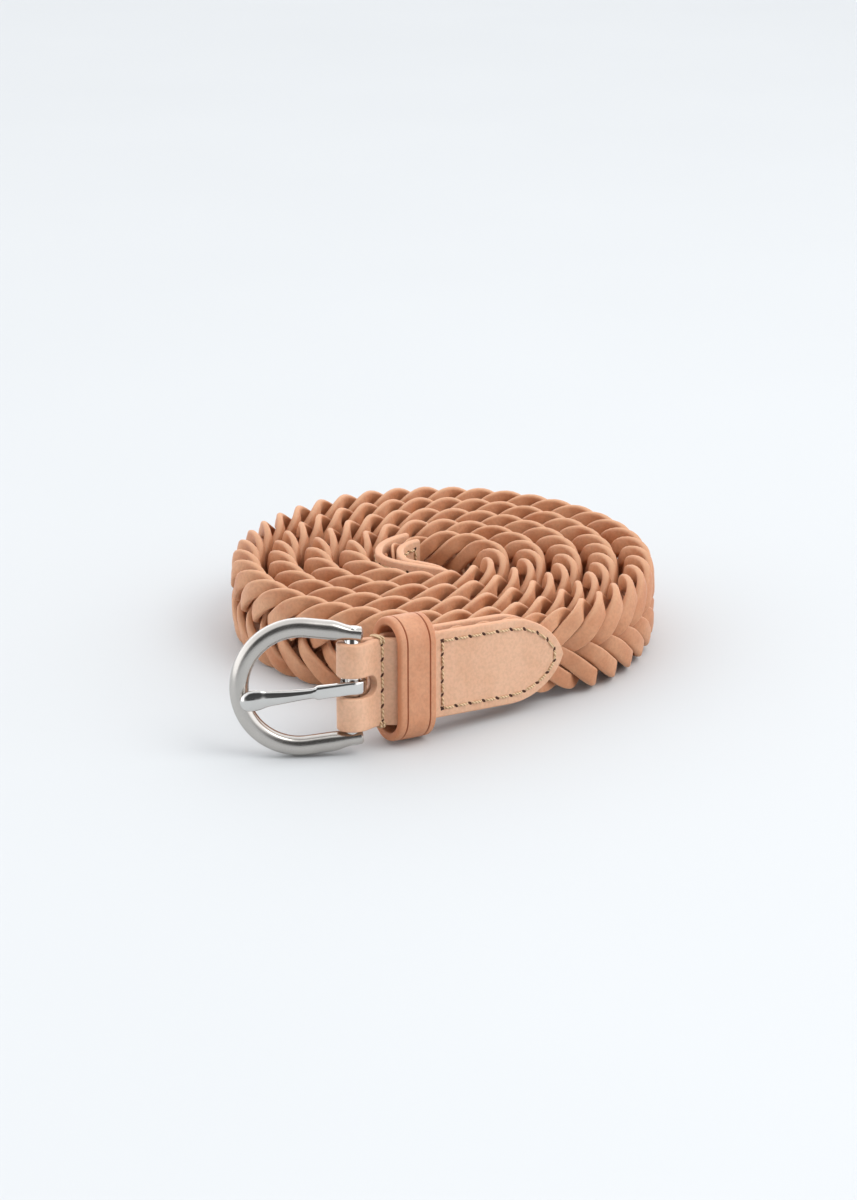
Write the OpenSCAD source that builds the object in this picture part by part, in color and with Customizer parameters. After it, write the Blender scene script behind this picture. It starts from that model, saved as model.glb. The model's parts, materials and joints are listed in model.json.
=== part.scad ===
// Braided leather belt, coiled on its edge with the buckle at the front.
// +Z is up, the belt rests on z = 0, and the coil's axis is the Z axis.
// Along the belt, s is the distance from the buckle's bar. Across it, y_out points away
// from the coil's axis and z runs from the lower edge to the upper edge.

/* [Braided strap] */
// Width of the braided strap
strap_w = 20; // [19:0.5:22]
// Thickness of the braided strap at its middle
strap_t = 6.8; // [6.6:0.1:7.2]
// Width of one leather strand
strand_w = 3.8; // [3.4:0.1:3.9]
// Thickness of one leather strand
strand_t = 1.7; // [1.4:0.1:1.8]
// Length of strap in which a strand crosses to the other edge and back
lay = 48; // [46:1:52]
// Length of the belt from the buckle's bar to the end of the tip
belt_len = 937; // [900:1:940]

/* [Coil] */
// Radius of the outer turn's centre line on the coil's right-hand side
coil_r = 47.5; // [47:0.1:49]
// Distance from each turn to the next
turn_pitch = 8.3; // [8:0.1:8.4]
// Heading of the straight chape, seen from above, from the X axis
chape_yaw = 34; // [30:1:38]
// Fall of the chape from the buckle to the coil
chape_fall = 4; // [3:0.5:5]
// Lean of the chape's upper edge towards the coil
chape_lean = 6; // [0:1:8]
// Height of the buckle's middle above the rest plane
bar_height = 14.65; // [14.6:0.05:15]

/* [Chape] */
// Width of the chape and of the tip
leather_w = 18.6; // [18:0.1:19]
// Thickness of each leather layer
leather_t = 1.7; // [1.4:0.1:1.8]
// Distance from the bar to the stitches that close the fold
fold_row_x = 6.2; // [6:0.1:7]
// Distance from the bar to the first row of stitches of the tab
tab_row_x = 20.2; // [20:0.1:21]
// Distance from the bar to where the tab starts to narrow
tab_shoulder_x = 38; // [37:0.5:40]
// Distance from the bar to the tab's point
tab_end_x = 52; // [51:0.5:52]
// Length of the plain leather tip
tip_len = 34; // [32:1:44]
// Distance between stitches
stitch_pitch = 3.3; // [3:0.1:4]
// Radius of the linen thread
thread_r = 0.32; // [0.25:0.01:0.35]

/* [Keeper] */
// Width of the keeper loop
keeper_w = 9; // [8:0.1:9.4]
// Distance from the bar to the keeper's nearer edge
keeper_x = 8.4; // [8:0.1:8.8]
// Thickness of the keeper's leather
keeper_t = 1.8; // [1.5:0.1:2]
// Clear thickness inside the keeper
keeper_gap = 7.6; // [7.5:0.1:8]

/* [Buckle] */
// Radius of the frame's round end, to the middle of its metal
frame_r = 12.6; // [12:0.1:12.6]
// Distance from the bar to the frame's far outer edge
frame_reach = 25.4; // [25:0.1:26]
// Width of the frame's metal, seen from the front
frame_w = 4; // [3.6:0.1:4.2]
// Depth of the frame's metal, from front to back
frame_d = 3.8; // [3.4:0.1:4]
// Fall of each rail from the round end towards the bar
rail_fall = 6.8; // [6:0.1:8]
// Radius of the bar
bar_r = 1.6; // [1.4:0.1:1.7]
// Running clearance round the bar
bar_gap = 0.05; // [0.03:0.01:0.08]
// Turn of the frame about the bar, back from the line of the chape
frame_turn = 29; // [20:1:32]
// Reach of the prong from the bar to its tip
prong_reach = 23.3; // [22.5:0.1:25]
// Sag of the prong below the middle of the frame
prong_sag = 5.5; // [0:0.5:6]

/* [Hidden] */
$fn = 48;
STRANDS = 7;

leather = [0.86, 0.62, 0.45];
thread = [0.80, 0.70, 0.55];
steel = [0.75, 0.75, 0.73];

// The centre line in plan: straight from the bar for chape_run, then a spiral whose
// radius falls by spiral_k for each radian.
chape_run = 52;
deg = 180 / PI;
spiral_k = turn_pitch / (2 * PI);
spiral_lead = atan(spiral_k / coil_r);
join_angle = chape_yaw - 90 - spiral_lead;
join_r = coil_r - spiral_k * join_angle / deg;
join_at = join_r * [cos(join_angle), sin(join_angle)];
plan_run = chape_run * cos(chape_fall);
bar_at = join_at - plan_run * [cos(chape_yaw), sin(chape_yaw)];

// Height of the strap's middle when a strap with this lean just rests on its edge
function rest_height(lean) = strap_w / 2 * cos(lean) + strap_t / 2 * sin(lean);
join_lift = bar_height - rest_height(chape_lean) - chape_run * sin(chape_fall);
settle_run = 2 * join_lift / tan(chape_fall);
untwist_run = 60;

function ease(t) = t <= 0 ? 0 : t >= 1 ? 1 : t * t * (3 - 2 * t);
function turned(s) =
    (join_r - sqrt(max(join_r * join_r - 2 * spiral_k * (s - chape_run), 0.01))) / spiral_k * deg;
function spiral_angle(s) = join_angle + turned(s);
function spiral_r(s) = join_r - spiral_k * turned(s) / deg;
function lean_at(s) = chape_lean * (1 - ease((s - chape_run) / untwist_run));
function left_to_settle(s) = max(0, min(1, 1 - (s - chape_run) / settle_run));
function fall_at(s) = atan(tan(chape_fall) * left_to_settle(s));
function lift_at(s) =
    s < chape_run ? join_lift + (chape_run - s) * sin(chape_fall)
                  : join_lift * pow(left_to_settle(s), 2);
function yaw_at(s) = s < chape_run ? chape_yaw : spiral_angle(s) + 90 + atan(spiral_k / spiral_r(s));
function plan_at(s) =
    s < chape_run ? bar_at + s * cos(chape_fall) * [cos(chape_yaw), sin(chape_yaw)]
                  : spiral_r(s) * [cos(spiral_angle(s)), sin(spiral_angle(s))];
function centre_at(s) = [plan_at(s).x, plan_at(s).y, rest_height(lean_at(s)) + lift_at(s)];

function turn_x(v, a) = [v.x, v.y * cos(a) - v.z * sin(a), v.y * sin(a) + v.z * cos(a)];
function turn_y(v, a) = [v.x * cos(a) + v.z * sin(a), v.y, v.z * cos(a) - v.x * sin(a)];
function turn_z(v, a) = [v.x * cos(a) - v.y * sin(a), v.x * sin(a) + v.y * cos(a), v.z];

// A point of the strap: s along it, y_out off its middle plane and z off its middle height
function on_strap(s, y_out, z) =
    centre_at(s) + turn_z(turn_y(turn_x([0, -y_out, z], -lean_at(s)), fall_at(s)), yaw_at(s));

// Puts a shape drawn with x along the chape, -y outwards and z up at the bar's middle
module at_chape() {
    translate(centre_at(0)) rotate([-chape_lean, chape_fall, chape_yaw]) children();
}

// Puts a shape drawn in line with the chape where the swivelled frame is
module at_frame() {
    at_chape() rotate([0, 0, -frame_turn]) children();
}

// A closed solid through rings of points that all have the same number of points
module skin(rings) {
    n = len(rings[0]);
    last = (len(rings) - 1) * n;
    sides = [
        for (i = [0:len(rings) - 2], j = [0:n - 1])
            let (a = i * n + j, b = i * n + (j + 1) % n)
                each [[a, b + n, b], [a, a + n, b + n]]
    ];
    caps = [
        for (j = [1:n - 2])
            each [[0, j, j + 1], [last, last + j + 1, last + j]]
    ];
    polyhedron([for (ring = rings) each ring], concat(sides, caps));
}

// Braid: each strand swings from edge to edge once in a lay and passes over three strands
// and under three. Its flat faces turn a little where it crosses the middle.
cover_t = 3;
tip_start = belt_len - tip_len;
tuck = 12;
braid_start = fold_row_x + 4;
braid_end = tip_start + tuck;
flare_run = 10;
rings_per_lay = 15;
swing = (strap_w - strand_w) / 2;
bulge = (strap_t - strand_t) / 2;
wave_3 = 0.1;
wave_6 = 0.11;
face_roll = 0.3;

// 0 under the chape and the tip, 1 where the braid has its full thickness
function free_braid(s) = ease((s - tab_end_x) / flare_run) * ease((tip_start - s) / flare_run);
function thin(s) = cover_t / strap_t + (1 - cover_t / strap_t) * free_braid(s);
function narrow(s) = 0.9 + 0.1 * free_braid(s);
function braid_point(p) = on_strap(p.x, p.y * thin(p.x), p.z * narrow(p.x));

function strand_ring(s, phase) =
    let (
        f = 360 * (s / lay + phase),
        z = swing * (sin(f) - wave_3 * sin(3 * f)) / (1 + wave_3),
        dz = swing * (cos(f) - 3 * wave_3 * cos(3 * f)) / (1 + wave_3) * 2 * PI / lay,
        y = bulge * (sin(2 * f) + wave_6 * sin(6 * f)) / (1 - wave_6),
        a = atan(dz),
        roll = -face_roll * deg * cos(f) * abs(cos(f)),
        across = strand_w / 2 * [-sin(a) * cos(roll), sin(roll), cos(a) * cos(roll)],
        through = [0, strand_t / 2, 0],
        middle = [s, y, z]
    )
    [for (c = [[-1, -1], [1, -1], [1, 1], [-1, 1]]) braid_point(middle + c[0] * across + c[1] * through)];

module strand(i) {
    steps = ceil((braid_end - braid_start) / lay * rings_per_lay);
    step = (braid_end - braid_start) / steps;
    color(leather)
        skin([for (n = [0:steps]) strand_ring(braid_start + n * step, i / STRANDS)]);
}

// Stitches: a short thread lies on the leather from one hole to the next
hole_r = thread_r + 0.06;
hole_depth = 0.8;
stitch_len = 0.72;

// A round bar from a to b
module rod(a, b, r) {
    d = b - a;
    translate(a)
        rotate([0, acos(d.z / norm(d)), atan2(d.y, d.x)])
            cylinder(r = r, h = norm(d), $fn = 16);
}

// One stitch from a to b, lying on a face whose outward direction is out
module stitch(a, b, out) {
    middle = (a + b) / 2 + out * thread_r;
    half = (b - a) / 2 * stitch_len;
    rod(middle - half, middle + half, thread_r);
}

// The holes of one stitch
module stitch_holes(a, b, out) {
    middle = (a + b) / 2;
    half = (b - a) / 2 * stitch_len;
    for (end = [-1, 1])
        rod(middle + end * half - out * hole_depth, middle + end * half + out, hole_r);
}

// Chape: one leather strip folded round the bar, with a pointed tab front and back
fold_r = bar_r + bar_gap;
layer_gap = 0.05;
cover_gap = cover_t / 2 + 0.15;
pinch = 0.5;
nose_power = 1.3;
cover_x = fold_row_x + 3.6;
slot_h = 4.3;
slot_end_x = 4.7;
curve_steps = 8;

function swell(x0, y0, x1, y1) = [
    for (i = [0:curve_steps])
        let (t = i / curve_steps) [x0 + (x1 - x0) * t, y0 + (y1 - y0) * ease(t)]
];

// Distance of a layer's inner face from the middle plane, as x and y points
layer_line = concat(
    swell(0, fold_r, fold_row_x - pinch, layer_gap),
    swell(fold_row_x + pinch, layer_gap, cover_x, cover_gap),
    [[tab_end_x + 1, cover_gap]]
);

module chape_layer(side) {
    outer = [for (p = layer_line) [p.x, side * (p.y + leather_t)]];
    inner = [for (i = [len(layer_line) - 1:-1:0]) [layer_line[i].x, side * layer_line[i].y]];
    translate([0, 0, -leather_w / 2]) linear_extrude(leather_w) polygon(concat(outer, inner));
}

// Half of the tab's outline: straight to the shoulder, then one curve to the point
function tab_half(inset) =
    let (half = leather_w / 2 - inset, reach = tab_end_x - tab_shoulder_x - inset)
        [for (t = [90:-10:0]) [tab_shoulder_x + reach * cos(t), half * pow(sin(t), nose_power)]];

module tab_outline() {
    upper = tab_half(0);
    lower = [for (i = [len(upper) - 2:-1:0]) [upper[i].x, -upper[i].y]];
    rotate([90, 0, 0])
        linear_extrude(leather_w, center = true)
            polygon(concat([[-8, -leather_w / 2], [-8, leather_w / 2]], upper, lower));
}

module prong_slot() {
    end_r = slot_h / 2;
    translate([-8, -8, -end_r]) cube([8 + slot_end_x - end_r, 16, slot_h]);
    translate([slot_end_x - end_r, 8, 0]) rotate([90, 0, 0]) cylinder(r = end_r, h = 16);
}

stitch_inset = 2;
row_z = leather_w / 2 - stitch_inset;
fold_face = layer_gap + leather_t;
tab_face = cover_gap + leather_t;

// Ends of n equal stitches from a to b
function row(a, b, n) = [for (i = [0:n]) a + (b - a) * i / n];
function mirrored(points) = [for (i = [len(points) - 1:-1:0]) [points[i].x, -points[i].y]];

side_row_x = tab_row_x + 1;
side_count = round((tab_shoulder_x - side_row_x) / stitch_pitch);
nose = [for (t = [73, 54, 36, 15]) [tab_shoulder_x + (tab_end_x - tab_shoulder_x - stitch_inset) * cos(t),
                                    row_z * pow(sin(t), nose_power)]];
upper_row = concat(row([side_row_x, row_z], [tab_shoulder_x, row_z], side_count), nose);
tab_outline_row = concat(upper_row, mirrored(upper_row));
cross_row = row([tab_row_x, -row_z], [tab_row_x, row_z], 5);
fold_row = row([fold_row_x, -row_z], [fold_row_x, row_z], 5);

// Runs a stitch module along a row on the front and the back
module along(points, face, holes) {
    for (side = [-1, 1], i = [0:len(points) - 2]) {
        a = [points[i].x, side * face, points[i].y];
        b = [points[i + 1].x, side * face, points[i + 1].y];
        if (holes) stitch_holes(a, b, [0, side, 0]);
        else stitch(a, b, [0, side, 0]);
    }
}

module chape() {
    color(leather)
        at_chape()
            difference() {
                intersection() {
                    union() {
                        translate([0, 0, -leather_w / 2]) cylinder(r = fold_r + leather_t, h = leather_w);
                        chape_layer(-1);
                        chape_layer(1);
                    }
                    tab_outline();
                }
                translate([0, 0, -leather_w]) cylinder(r = fold_r, h = 2 * leather_w);
                prong_slot();
                along(fold_row, fold_face, true);
                along(cross_row, tab_face, true);
                along(tab_outline_row, tab_face, true);
            }
}

module fold_stitching() {
    color(thread) at_chape() along(fold_row, fold_face, false);
}

module tab_stitching() {
    color(thread)
        at_chape() {
            along(cross_row, tab_face, false);
            along(tab_outline_row, tab_face, false);
        }
}

// Keeper: a leather loop that slides on the chape between the two rows of stitches
keeper_in_r = keeper_gap / 2;
keeper_in_z = leather_w / 2 + 2.2;
joint_stitches = 3;
joint_stitch_len = 4.4;
joint_stitch_pitch = 1.6;
crease_w = 0.4;
crease_d = 0.25;
crease_inset = 1.5;

// A bar along x whose section is upright with round ends of radius r, out to half_z
module oval_bar(len_x, r, half_z) {
    translate([0, -r, r - half_z]) cube([len_x, 2 * r, 2 * (half_z - r)]);
    for (z = [r - half_z, half_z - r])
        translate([0, 0, z]) rotate([0, 90, 0]) cylinder(r = r, h = len_x, $fn = 96);
}

// The space inside the keeper's leather, grown by grow
module keeper_bar(len_x, grow) {
    oval_bar(len_x, keeper_in_r + grow, keeper_in_z + grow);
}

module crease() {
    difference() {
        translate([0, -10, -20]) cube([crease_w, 20, 40]);
        translate([-1, 0, 0]) keeper_bar(crease_w + 2, keeper_t - crease_d);
    }
}

module keeper() {
    color(leather)
        at_chape()
            translate([keeper_x, 0, 0])
                difference() {
                    keeper_bar(keeper_w, keeper_t);
                    translate([-1, 0, 0]) keeper_bar(keeper_w + 2, 0);
                    translate([crease_inset, 0, 0]) crease();
                    translate([keeper_w - crease_inset - crease_w, 0, 0]) crease();
                }
}

// Threads across the butt joint at the keeper's back
module keeper_stitching() {
    y = keeper_in_r + keeper_t + thread_r;
    half = joint_stitch_len / 2;
    first_x = keeper_x + keeper_w / 2 - (joint_stitches - 1) / 2 * joint_stitch_pitch;
    color(thread)
        at_chape()
            for (n = [0:joint_stitches - 1]) {
                x = first_x + n * joint_stitch_pitch;
                rod([x, y, -half], [x, y, half], thread_r);
            }
}

// Buckle: a horseshoe frame whose rails end in bored lugs, with the bar fixed in them
frame_cx = -(frame_reach - frame_w / 2 - frame_r);
rail_len = -(frame_cx + frame_r * sin(rail_fall)) / cos(rail_fall);
lug_z = frame_r * cos(rail_fall) - rail_len * sin(rail_fall);
lug_len = 2.2;
lug_back = 1.6;
lug_t = 2.9;
lug_cut = 1.3;
lug_slope = 35;
lug_out = lug_z + lug_t / 2;
notch_r = 1.9;
notch_depth = 0.6;

// Cross-section of the frame: an oval with full, soft corners
section_steps = 20;
section_power = 0.75;
function soft(v) = sign(v) * pow(abs(v), section_power);

// A ring of the frame at angle b of its round end, slid by run along its tangent
function frame_ring(b, run) =
    let (out = [cos(b), 0, sin(b)], middle = [frame_cx, 0, 0] + frame_r * out + run * [-sin(b), 0, cos(b)])
    [
        for (n = [0:section_steps - 1])
            let (a = 360 * n / section_steps)
                middle + frame_w / 2 * soft(cos(a)) * out + [0, frame_d / 2 * soft(sin(a)), 0]
    ];

module horseshoe() {
    first = 90 - rail_fall;
    last = 270 + rail_fall;
    steps = 44;
    skin([
        frame_ring(first, -rail_len),
        for (n = [0:steps]) frame_ring(first + (last - first) * n / steps, 0),
        frame_ring(last, rail_len)
    ]);
}

module lug() {
    translate([0, 0, lug_z])
        difference() {
            translate([-lug_back, -frame_d / 2, -lug_t / 2]) cube([lug_back + lug_len, frame_d, lug_t]);
            translate([lug_len, 0, lug_t / 2])
                rotate([0, lug_slope, 0])
                    cube([lug_cut, 2 * frame_d, 2 * lug_cut], center = true);
        }
}

module buckle_frame() {
    color(steel)
        at_frame()
            difference() {
                union() {
                    horseshoe();
                    lug();
                    mirror([0, 0, 1]) lug();
                }
                translate([0, 0, -2 * lug_z]) cylinder(r = bar_r, h = 4 * lug_z);
                translate([-frame_reach - 1, notch_depth - frame_d / 2 - notch_r, 0])
                    rotate([0, 90, 0])
                        cylinder(r = notch_r, h = 2 * frame_w);
            }
}

module buckle_bar() {
    color(steel) at_frame() translate([0, 0, -lug_out]) cylinder(r = bar_r, h = 2 * lug_out);
}

// Prong: an eye that turns on the bar, a flat-sided shank, and a rounded tip on the frame
prong_w = 2.8;
prong_t = 1.25;
eye_r = fold_r + prong_t;
shank_x = -7.6;
shank_t = 2;
shank_y = -2.3;
neck_r = 1.05;
taper_r = 1.3;
taper_x = -prong_reach + 5;
tip_r = 2.15;
tip_y = -frame_d / 2 - 1.15;

module prong_shank() {
    hull() {
        translate([-0.5, -eye_r + prong_t / 2, 0]) cube([0.2, prong_t, prong_w - 0.2], center = true);
        translate([shank_x, shank_y, 0]) cube([0.2, shank_t, prong_w], center = true);
    }
}

module prong_taper() {
    hull() {
        translate([shank_x, shank_y, 0]) sphere(r = neck_r, $fn = 24);
        translate([taper_x, tip_y, 0]) scale([1, 0.7, 1]) sphere(r = taper_r, $fn = 24);
    }
}

// The spoon-shaped tip that rests in the frame's notch
module prong_tip() {
    hull() {
        translate([taper_x, tip_y, 0]) scale([1, 0.7, 1]) sphere(r = taper_r, $fn = 24);
        translate([-prong_reach + 1.25 * tip_r, tip_y, 0]) scale([1.25, 0.5, 1]) sphere(r = tip_r, $fn = 32);
    }
}

module prong() {
    color(steel)
        at_frame()
            difference() {
                union() {
                    translate([0, 0, -prong_w / 2]) cylinder(r = eye_r, h = prong_w);
                    rotate([0, -prong_sag, 0]) {
                        prong_shank();
                        prong_taper();
                        prong_tip();
                    }
                }
                translate([0, 0, -prong_w]) cylinder(r = fold_r, h = 2 * prong_w);
            }
}

// Tip: two layers of leather over the braid's end, stitched together to a point
tip_open_run = 9;
tip_steps = 40;
point_run = 12;

function tip_gap(s) =
    layer_gap + (cover_gap - layer_gap) * (1 - ease((s - braid_end - 0.5) / tip_open_run));
function tip_half(s, inset) =
    let (t = max(0, s - (belt_len - point_run)) / (point_run - inset))
        (leather_w / 2 - inset) * pow(max(0, 1 - t * t), 0.4);

module tip_layer(side) {
    end = belt_len - 0.15;
    stations = [for (n = [0:tip_steps]) tip_start + (end - tip_start) * (1 - pow(1 - n / tip_steps, 1.4))];
    color(leather)
        skin([
            for (s = stations)
                let (a = side * tip_gap(s), b = side * (tip_gap(s) + leather_t), h = tip_half(s, 0))
                    side > 0 ? [on_strap(s, a, -h), on_strap(s, a, h), on_strap(s, b, h), on_strap(s, b, -h)]
                             : [on_strap(s, b, -h), on_strap(s, b, h), on_strap(s, a, h), on_strap(s, a, -h)]
        ]);
}

module tip_outer() { tip_layer(1); }
module tip_inner() { tip_layer(-1); }

tip_row_start = tip_start + 2;
tip_row_end = belt_len - 2.6;
tip_count = round((tip_row_end - tip_row_start) / stitch_pitch);
tip_step = (tip_row_end - tip_row_start) / tip_count;
cross_step = 2 * row_z / 5;
tip_thread_lift = thread_r + 0.2;

function tip_face(s) = tip_gap(s) + leather_t + tip_thread_lift;
function tip_edge(s, side, edge) = on_strap(s, side * tip_face(s), edge * tip_half(s, stitch_inset));
function tip_cross(z, side) = on_strap(tip_row_start, side * tip_face(tip_row_start), z);

// Threads along both edges and across the start of the tip, on its outer and inner face
module tip_stitching() {
    gap = (1 - stitch_len) / 2;
    color(thread)
        for (side = [-1, 1]) {
            for (edge = [-1, 1], n = [0:tip_count - 1]) {
                start = tip_row_start + (n + gap) * tip_step;
                rod(tip_edge(start, side, edge), tip_edge(start + stitch_len * tip_step, side, edge), thread_r);
            }
            for (n = [0:4]) {
                z = -row_z + (n + gap) * cross_step;
                rod(tip_cross(z, side), tip_cross(z + stitch_len * cross_step, side), thread_r);
            }
        }
}

buckle_frame();
buckle_bar();
prong();
chape();
fold_stitching();
tab_stitching();
keeper();
keeper_stitching();
for (i = [1:STRANDS])
    strand(i);
tip_outer();
tip_inner();
tip_stitching();
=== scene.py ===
"""A braided leather belt coiled on its edge, with the buckle end lying in front.

Lengths are in millimetres in the belt's own terms and are scaled to metres when a mesh is
made. Along the belt, s is the distance from the buckle's bar; out points away from the
coil's axis and z across the strap.
"""
import bmesh
import bpy
import json
import math
import numpy as np
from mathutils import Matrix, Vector


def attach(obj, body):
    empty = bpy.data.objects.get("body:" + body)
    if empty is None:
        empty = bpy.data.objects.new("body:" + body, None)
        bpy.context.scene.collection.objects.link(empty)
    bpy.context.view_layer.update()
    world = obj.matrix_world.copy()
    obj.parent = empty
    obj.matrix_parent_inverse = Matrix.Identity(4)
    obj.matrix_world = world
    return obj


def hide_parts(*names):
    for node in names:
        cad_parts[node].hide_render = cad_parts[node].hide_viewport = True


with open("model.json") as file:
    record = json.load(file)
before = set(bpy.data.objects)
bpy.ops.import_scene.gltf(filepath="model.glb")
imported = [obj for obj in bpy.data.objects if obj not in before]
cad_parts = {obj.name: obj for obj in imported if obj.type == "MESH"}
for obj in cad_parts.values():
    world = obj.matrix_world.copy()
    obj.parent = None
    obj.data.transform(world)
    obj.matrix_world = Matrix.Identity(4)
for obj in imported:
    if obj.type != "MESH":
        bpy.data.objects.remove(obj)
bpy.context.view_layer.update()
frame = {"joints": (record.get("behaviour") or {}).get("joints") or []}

MM = 0.001

# ---------------------------------------------------------------- dimensions, as in the CAD
STRAP_W = 20.0
STRAP_T = 6.8
STRAND_W = 3.8
STRAND_T = 1.7
STRANDS = 7
LAY = 48.0
BELT_LEN = 937.0
COIL_R = 47.5
TURN_PITCH = 8.3
CHAPE_YAW = 34.0
CHAPE_FALL = 4.0
CHAPE_LEAN = 6.0
LEATHER_W = 18.6
LEATHER_T = 1.7
FOLD_ROW_X = 6.2
TAB_ROW_X = 20.2
TAB_SHOULDER_X = 38.0
TAB_END_X = 52.0
TIP_LEN = 34.0
STITCH_PITCH = 3.3
THREAD_R = 0.28
KEEPER_W = 9.0
KEEPER_X = 8.4
KEEPER_T = 1.8
KEEPER_GAP = 7.6
FRAME_R = 12.6
FRAME_REACH = 25.4
FRAME_W = 4.0
FRAME_D = 3.8
RAIL_FALL = 6.8
BAR_R = 1.6
BAR_GAP = 0.05
FRAME_TURN = 29.0
PRONG_REACH = 23.3
PRONG_SAG = 5.5
COVER_T = 3.0
LAYER_GAP = 0.05
COVER_GAP = COVER_T / 2 + 0.15
FOLD_R = BAR_R + BAR_GAP
SLOT_H = 4.3
SLOT_END_X = 4.7
PINCH = 0.5
COVER_X = FOLD_ROW_X + 3.6
NOSE_POWER = 1.3
STITCH_INSET = 2.0
ROW_Z = LEATHER_W / 2 - STITCH_INSET
FOLD_FACE = LAYER_GAP + LEATHER_T
TAB_FACE = COVER_GAP + LEATHER_T
TIP_START = BELT_LEN - TIP_LEN
TIP_POINT_RUN = 12.0
TIP_OPEN_RUN = 9.0
BRAID_START = FOLD_ROW_X + 4
BRAID_END = TIP_START + 12


# ---------------------------------------------------------------- the belt's path
def rotation(axis, degrees):
    """A 3 by 3 rotation matrix about x, y or z."""
    c, s = math.cos(math.radians(degrees)), math.sin(math.radians(degrees))
    i = "xyz".index(axis)
    j, k = (i + 1) % 3, (i + 2) % 3
    m = np.eye(3)
    m[j, j] = m[k, k] = c
    m[j, k], m[k, j] = -s, s
    return m


joints = {j["name"]: j for j in frame["joints"]}
BAR_AT = np.array(joints["buckle_swivel"]["pos_m"]) / MM
CHAPE_AXES = rotation("z", CHAPE_YAW) @ rotation("y", CHAPE_FALL) @ rotation("x", -CHAPE_LEAN)
FRAME_AXES = CHAPE_AXES @ rotation("z", -FRAME_TURN)

CHAPE_RUN = 52.0
SPIRAL_K = TURN_PITCH / (2 * math.pi)
JOIN_ANGLE = math.radians(CHAPE_YAW - 90) - math.atan(SPIRAL_K / COIL_R)
JOIN_R = COIL_R - SPIRAL_K * JOIN_ANGLE
UNTWIST_RUN = 60.0
FLARE_RUN = 10.0


def ease(t):
    t = np.clip(t, 0, 1)
    return t * t * (3 - 2 * t)


def rest_height(lean):
    """Height of the strap's middle when it stands on its lower edge, leaning."""
    return STRAP_W / 2 * np.cos(lean) + STRAP_T / 2 * np.sin(lean)


FALL_SIN = math.sin(math.radians(CHAPE_FALL))
JOIN_LIFT = BAR_AT[2] - rest_height(math.radians(CHAPE_LEAN)) - CHAPE_RUN * FALL_SIN
SETTLE_RUN = 2 * JOIN_LIFT / math.tan(math.radians(CHAPE_FALL))


def on_strap(s, out, z):
    """Points of the strap, in millimetres, for arrays of s, out and z."""
    s, out, z = np.broadcast_arrays(np.asarray(s, float), out, z)
    past = s - CHAPE_RUN
    turned = (JOIN_R - np.sqrt(np.maximum(JOIN_R**2 - 2 * SPIRAL_K * past, 0.01))) / SPIRAL_K
    angle = JOIN_ANGLE + turned
    radius = JOIN_R - SPIRAL_K * turned
    straight = past < 0
    run = s * math.cos(math.radians(CHAPE_FALL))
    cy, sy = math.cos(math.radians(CHAPE_YAW)), math.sin(math.radians(CHAPE_YAW))
    x = np.where(straight, BAR_AT[0] + run * cy, radius * np.cos(angle))
    y = np.where(straight, BAR_AT[1] + run * sy, radius * np.sin(angle))
    yaw = np.where(straight, math.radians(CHAPE_YAW), angle + math.pi / 2 + np.arctan(SPIRAL_K / radius))
    lean = math.radians(CHAPE_LEAN) * (1 - ease(past / UNTWIST_RUN))
    left = np.clip(1 - past / SETTLE_RUN, 0, 1)
    fall = np.arctan(math.tan(math.radians(CHAPE_FALL)) * left)
    lift = np.where(straight, JOIN_LIFT - past * FALL_SIN, JOIN_LIFT * left**2)
    height = rest_height(lean) + lift
    # rotate [0, -out, z] about x by -lean, about y by fall, then about z by yaw
    across = -out * np.cos(lean) + z * np.sin(lean)
    up = out * np.sin(lean) + z * np.cos(lean)
    along, up = up * np.sin(fall), up * np.cos(fall)
    return np.stack([
        x + along * np.cos(yaw) - across * np.sin(yaw),
        y + along * np.sin(yaw) + across * np.cos(yaw),
        height + up,
    ], axis=-1)


def at_chape(points):
    """Points given with x along the chape, -y outwards and z up, at the bar's middle."""
    return np.asarray(points, float) @ CHAPE_AXES.T + BAR_AT


def at_frame(points):
    """Points given in the buckle's own turned axes, at the bar's middle."""
    return np.asarray(points, float) @ FRAME_AXES.T + BAR_AT


# ---------------------------------------------------------------- meshes
def make_mesh(name, points, faces, sharp=40):
    """An object from points in millimetres and faces, shaded smooth up to the sharp angle."""
    mesh = bpy.data.meshes.new(name)
    mesh.from_pydata([tuple(p) for p in np.asarray(points) * MM], [], [tuple(f) for f in faces])
    mesh.update()
    mesh.shade_smooth()
    mesh.set_sharp_from_angle(angle=math.radians(sharp))
    piece = bpy.data.objects.new(name, mesh)
    bpy.context.scene.collection.objects.link(piece)
    return piece


def ring_faces(count, n):
    """Faces through count rings of n points each and over both ends, wound so that they face outwards."""
    faces = []
    for i in range(count - 1):
        a, b = i * n, (i + 1) * n
        for j in range(n):
            k = (j + 1) % n
            faces.append((a + j, b + j, b + k, a + k))
    last = (count - 1) * n
    faces.append(tuple(range(n)))
    faces.append(tuple(last + j for j in reversed(range(n))))
    return faces


def skin(name, rings, sharp=40):
    """A closed solid through rings of points, an array of ring by point by coordinate."""
    rings = np.asarray(rings)
    count, n = rings.shape[:2]
    return make_mesh(name, rings.reshape(-1, 3), ring_faces(count, n), sharp)


def merge_solids(name, solids, sharp=40):
    """One object from several (points, faces) solids."""
    points, faces, first = [], [], 0
    for p, f in solids:
        points.append(p)
        faces += [tuple(i + first for i in face) for face in f]
        first += len(p)
    return make_mesh(name, np.concatenate(points), faces, sharp)


def add_value(piece, name, values):
    """Stores one number for each vertex, which a material reads by name."""
    attribute = piece.data.attributes.new(name, "FLOAT", "POINT")
    attribute.data.foreach_set("value", np.asarray(values, np.float32).ravel())


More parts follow.
